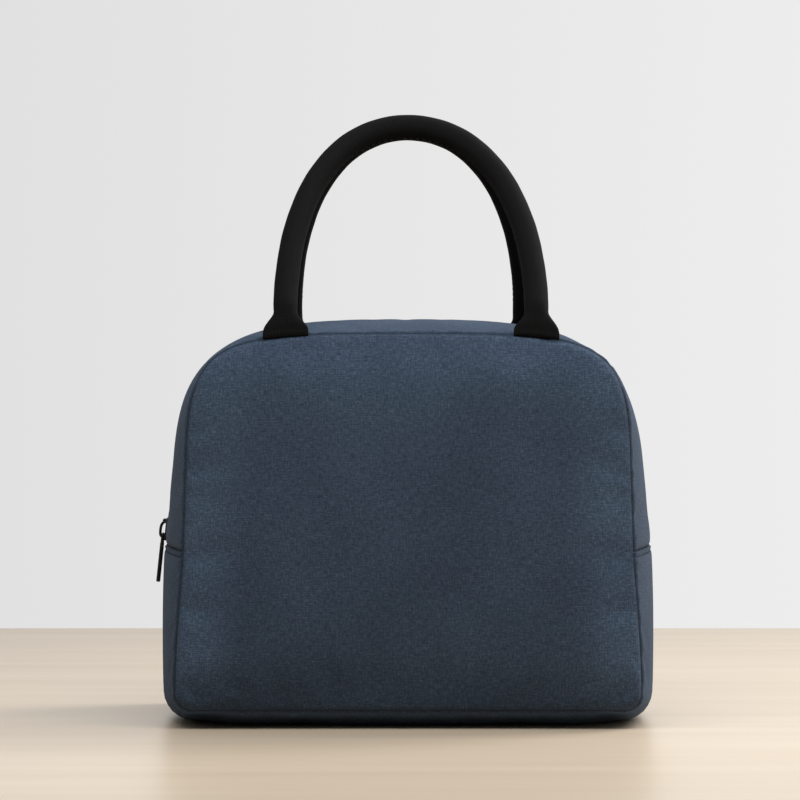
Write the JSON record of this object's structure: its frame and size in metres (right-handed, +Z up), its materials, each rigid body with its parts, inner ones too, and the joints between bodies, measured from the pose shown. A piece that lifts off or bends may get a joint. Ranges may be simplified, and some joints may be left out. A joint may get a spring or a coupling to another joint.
{
  "type": "insulated lunch bag",
  "caption": "Soft insulated lunch bag with a domed zip top, two arched carry handles that fold out and a foil-lined padded compartment.",
  "frame": {"origin": "middle of the flat base, on the surface the bag stands on", "axes": "+Z up, front panel faces -Y, zip slider and pull on the -X side"},
  "size_m": [0.262, 0.158, 0.318],
  "materials": {
    "outer_fabric": "slate-navy heathered plain weave, matte",
    "insulation_foam": "closed-cell white foam",
    "foil_liner": "silver foil-faced film, softly wrinkled",
    "handle_webbing": "black ribbed webbing, matte",
    "trim_tape": "black woven tape",
    "zip_coil": "black moulded coil",
    "zip_metal": "black satin paint"
  },
  "bodies": {
    "lower_body": {"lower_gusset": "outer_fabric", "front_panel_lower": "outer_fabric", "rear_panel_lower": "outer_fabric", "lower_gusset_foam": "insulation_foam", "front_foam_lower": "insulation_foam", "rear_foam_lower": "insulation_foam", "lower_gusset_liner": "foil_liner", "front_liner_lower": "foil_liner", "rear_liner_lower": "foil_liner", "front_binding_lower": "trim_tape", "rear_binding_lower": "trim_tape"},
    "front_half": {"front_panel_upper": "outer_fabric", "front_zip_gusset": "outer_fabric", "front_foam_upper": "insulation_foam", "front_zip_gusset_foam": "insulation_foam", "front_liner_upper": "foil_liner", "front_zip_gusset_liner": "foil_liner", "front_binding_upper": "trim_tape", "front_zip_tape": "trim_tape", "front_zip_coil": "zip_coil"},
    "rear_half": {"rear_panel_upper": "outer_fabric", "rear_zip_gusset": "outer_fabric", "rear_foam_upper": "insulation_foam", "rear_zip_gusset_foam": "insulation_foam", "rear_liner_upper": "foil_liner", "rear_zip_gusset_liner": "foil_liner", "rear_binding_upper": "trim_tape", "rear_zip_tape": "trim_tape", "rear_zip_coil": "zip_coil"},
    "front_handle": {"front_handle_sleeve": "handle_webbing", "front_handle_core": "insulation_foam", "front_handle_tab_left": "handle_webbing", "front_handle_tab_right": "handle_webbing"},
    "rear_handle": {"rear_handle_sleeve": "handle_webbing", "rear_handle_core": "insulation_foam", "rear_handle_tab_left": "handle_webbing", "rear_handle_tab_right": "handle_webbing"},
    "slider": {"zip_slider": "zip_metal"},
    "pull": {"zip_pull": "zip_metal"}
  },
  "joints": [
    {"name": "front_half_open", "type": "hinge", "parent": "lower_body", "child": "front_half", "pos_m": [0, -0.0795, 0.0917], "axis": [1, 0, 0], "range_deg": [0, 25], "deforming": ["front_zip_tape", "front_zip_coil"]},
    {"name": "rear_half_open", "type": "hinge", "parent": "lower_body", "child": "rear_half", "pos_m": [0, 0.0795, 0.0917], "axis": [-1, 0, 0], "range_deg": [0, 25], "deforming": ["rear_zip_tape", "rear_zip_coil"]},
    {"name": "front_handle_swing", "type": "hinge", "parent": "front_half", "child": "front_handle", "pos_m": [0, -0.0755, 0.2035], "axis": [1, 0, 0], "range_deg": [0, 165]},
    {"name": "rear_handle_swing", "type": "hinge", "parent": "rear_half", "child": "rear_handle", "pos_m": [0, 0.0755, 0.2035], "axis": [-1, 0, 0], "range_deg": [0, 165]},
    {"name": "slider_travel", "type": "slide", "parent": "lower_body", "child": "slider", "axis": [0.104, 0, 0.9946], "range_m": [0, 0.03]},
    {"name": "pull_swing", "type": "hinge", "parent": "slider", "child": "pull", "pos_m": [-0.12988, 0, 0.09684], "axis": [0, 1, 0], "range_deg": [0, 130]}
  ]
}
